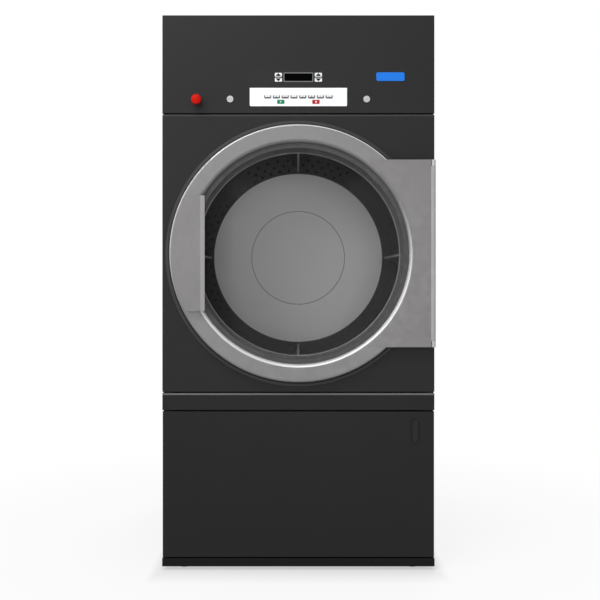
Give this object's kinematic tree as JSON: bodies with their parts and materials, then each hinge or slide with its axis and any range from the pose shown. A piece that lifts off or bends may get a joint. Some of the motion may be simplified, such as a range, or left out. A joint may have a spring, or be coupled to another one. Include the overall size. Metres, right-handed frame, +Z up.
{
  "type": "industrial tumble dryer",
  "caption": "Free-standing industrial tumble dryer with a round glazed door, control panel above, lint compartment below and a rear exhaust spigot.",
  "frame": {"origin": "on the floor, under the middle of the machine's outer box", "axes": "+Z up; the door side faces -Y; +X is to the right seen from the front"},
  "size_m": [0.7948, 0.978, 1.61],
  "materials": {
    "dark_panel_paint": "satin powder coat",
    "dark_frame_paint": "satin powder coat",
    "silver_door_paint": "smooth satin paint",
    "galvanised_sheet": "zinc-coated sheet",
    "stainless_drum": "brushed",
    "tunnel_paint": "satin",
    "felt": "pressed felt",
    "heater_rod": "heat-tinted",
    "cast_housing": "cast",
    "bearing_steel": "ground",
    "shaft_steel": "turned",
    "motor_paint": "gloss enamel",
    "belt_rubber": "matt",
    "black_plastic": "fine texture",
    "hinge_steel": "satin",
    "zinc_plate": "zinc-plated",
    "door_glass": "clear tempered",
    "gasket_rubber": "matt",
    "overlay_film": "smooth film, white below and dark above",
    "lock_chrome": "satin chrome",
    "stop_red": "smooth",
    "latch_plastic": "fine texture",
    "key_plastic": "smooth",
    "start_green": "smooth",
    "stop_key_red": "smooth",
    "arrow_white": "smooth"
  },
  "bodies": {
    "cabinet": {"base_frame": "dark_frame_paint", "levelling_feet": "zinc_plate", "left_side_panel": "dark_panel_paint", "right_side_panel": "dark_panel_paint", "top_cover": "dark_panel_paint", "rear_panel": "galvanised_sheet", "front_panel": "dark_panel_paint", "bulkhead": "galvanised_sheet", "tunnel_collar": "tunnel_paint", "drum_seal": "felt", "heater_box": "galvanised_sheet", "heater_elements": "heater_rod", "bearing_housing": "cast_housing", "drum_bearings": "bearing_steel", "fan_housing": "galvanised_sheet", "fan_motor": "motor_paint", "drive_motor": "motor_paint", "drive_belt": "belt_rubber", "lint_box": "dark_panel_paint", "lint_screen": "stainless_drum", "control_box": "galvanised_sheet", "cable_gland": "black_plastic", "door_switch": "black_plastic", "hinge_posts": "hinge_steel", "cabinet_screws": "zinc_plate"},
    "drum": {"drum_shell": "stainless_drum", "drum_back": "stainless_drum", "drum_lifters": "stainless_drum", "drum_shaft": "shaft_steel", "drum_pulley": "cast_housing"},
    "motor_rotor": {"motor_pulley": "shaft_steel"},
    "fan_rotor": {"fan_wheel": "galvanised_sheet"},
    "door": {"door_ring": "silver_door_paint", "door_hinge_plate": "silver_door_paint", "door_handle": "silver_door_paint", "door_glass": "door_glass", "door_gasket": "gasket_rubber"},
    "control_panel": {"control_panel": "dark_panel_paint", "keypad_overlay": "overlay_film", "stop_collar": "black_plastic"},
    "left_lock": {"left_panel_lock": "lock_chrome"},
    "right_lock": {"right_panel_lock": "lock_chrome"},
    "stop_stem": {"stop_stem": "black_plastic"},
    "stop_head": {"stop_head": "stop_red"},
    "lint_door": {"lint_door": "dark_panel_paint"},
    "lint_latch": {"lint_latch": "latch_plastic"},
    "key_1": {"key_1": "key_plastic"},
    "key_2": {"key_2": "key_plastic"},
    "key_3": {"key_3": "key_plastic"},
    "key_4": {"key_4": "key_plastic"},
    "key_5": {"key_5": "key_plastic"},
    "key_6": {"key_6": "key_plastic"},
    "key_7": {"key_7": "key_plastic"},
    "key_8": {"key_8": "key_plastic"},
    "start_key": {"start_key": "start_green"},
    "stop_key": {"stop_key": "stop_key_red"},
    "left_up_key": {"left_up_key": "arrow_white"},
    "left_down_key": {"left_down_key": "arrow_white"},
    "right_up_key": {"right_up_key": "arrow_white"},
    "right_down_key": {"right_down_key": "arrow_white"}
  },
  "joints": [
    {"name": "door_swing", "type": "hinge", "parent": "cabinet", "child": "door", "pos_m": [0.388, -0.4652, 0.919], "axis": [0, 0, 1], "range_deg": [0, 175]},
    {"name": "drum_spin", "type": "hinge", "parent": "cabinet", "child": "drum", "pos_m": [0, 0, 0.919], "axis": [0, 1, 0], "continuous": true},
    {"name": "motor_spin", "type": "hinge", "parent": "cabinet", "child": "motor_rotor", "pos_m": [-0.262, 0, 0.519], "axis": [0, 1, 0], "continuous": true},
    {"name": "fan_spin", "type": "hinge", "parent": "cabinet", "child": "fan_rotor", "pos_m": [0, 0.259, 0.215], "axis": [1, 0, 0], "continuous": true},
    {"name": "control_panel_tilt", "type": "hinge", "parent": "cabinet", "child": "control_panel", "pos_m": [0, -0.431, 1.6], "axis": [-1, 0, 0], "range_deg": [0, 70]},
    {"name": "left_lock_turn", "type": "hinge", "parent": "control_panel", "child": "left_lock", "pos_m": [-0.198, -0.441, 1.367], "axis": [0, 1, 0], "range_deg": [0, 90]},
    {"name": "right_lock_turn", "type": "hinge", "parent": "control_panel", "child": "right_lock", "pos_m": [0.198, -0.441, 1.367], "axis": [0, -1, 0], "range_deg": [0, 90]},
    {"name": "stop_push", "type": "slide", "parent": "control_panel", "child": "stop_stem", "axis": [0, 1, 0], "range_m": [0, 0.005], "stiffness_N_per_m": 1200},
    {"name": "stop_twist", "type": "hinge", "parent": "stop_stem", "child": "stop_head", "pos_m": [-0.2935, -0.441, 1.362], "axis": [0, 1, 0], "range_deg": [0, 45], "stiffness_Nm_per_rad": 0.1},
    {"name": "lint_door_swing", "type": "hinge", "parent": "cabinet", "child": "lint_door", "pos_m": [-0.388, -0.436, 0.25], "axis": [0, 0, -1], "range_deg": [0, 110]},
    {"name": "lint_latch_turn", "type": "hinge", "parent": "lint_door", "child": "lint_latch", "pos_m": [0.338, -0.441, 0.424], "axis": [0, -1, 0], "range_deg": [0, 90]},
    {"name": "key_1_press", "type": "slide", "parent": "control_panel", "child": "key_1", "axis": [0, 1, 0], "range_m": [0, 0.0008], "stiffness_N_per_m": 1500},
    {"name": "key_2_press", "type": "slide", "parent": "control_panel", "child": "key_2", "axis": [0, 1, 0], "range_m": [0, 0.0008], "stiffness_N_per_m": 1500},
    {"name": "key_3_press", "type": "slide", "parent": "control_panel", "child": "key_3", "axis": [0, 1, 0], "range_m": [0, 0.0008], "stiffness_N_per_m": 1500},
    {"name": "key_4_press", "type": "slide", "parent": "control_panel", "child": "key_4", "axis": [0, 1, 0], "range_m": [0, 0.0008], "stiffness_N_per_m": 1500},
    {"name": "key_5_press", "type": "slide", "parent": "control_panel", "child": "key_5", "axis": [0, 1, 0], "range_m": [0, 0.0008], "stiffness_N_per_m": 1500},
    {"name": "key_6_press", "type": "slide", "parent": "control_panel", "child": "key_6", "axis": [0, 1, 0], "range_m": [0, 0.0008], "stiffness_N_per_m": 1500},
    {"name": "key_7_press", "type": "slide", "parent": "control_panel", "child": "key_7", "axis": [0, 1, 0], "range_m": [0, 0.0008], "stiffness_N_per_m": 1500},
    {"name": "key_8_press", "type": "slide", "parent": "control_panel", "child": "key_8", "axis": [0, 1, 0], "range_m": [0, 0.0008], "stiffness_N_per_m": 1500},
    {"name": "start_key_press", "type": "slide", "parent": "control_panel", "child": "start_key", "axis": [0, 1, 0], "range_m": [0, 0.0008], "stiffness_N_per_m": 1500},
    {"name": "stop_key_press", "type": "slide", "parent": "control_panel", "child": "stop_key", "axis": [0, 1, 0], "range_m": [0, 0.0008], "stiffness_N_per_m": 1500},
    {"name": "left_up_key_press", "type": "slide", "parent": "control_panel", "child": "left_up_key", "axis": [0, 1, 0], "range_m": [0, 0.0008], "stiffness_N_per_m": 1500},
    {"name": "left_down_key_press", "type": "slide", "parent": "control_panel", "child": "left_down_key", "axis": [0, 1, 0], "range_m": [0, 0.0008], "stiffness_N_per_m": 1500},
    {"name": "right_up_key_press", "type": "slide", "parent": "control_panel", "child": "right_up_key", "axis": [0, 1, 0], "range_m": [0, 0.0008], "stiffness_N_per_m": 1500},
    {"name": "right_down_key_press", "type": "slide", "parent": "control_panel", "child": "right_down_key", "axis": [0, 1, 0], "range_m": [0, 0.0008], "stiffness_N_per_m": 1500}
  ],
  "couplings": [
    {"joint": "motor_spin", "follows": "drum_spin", "ratio": 13.182}
  ]
}
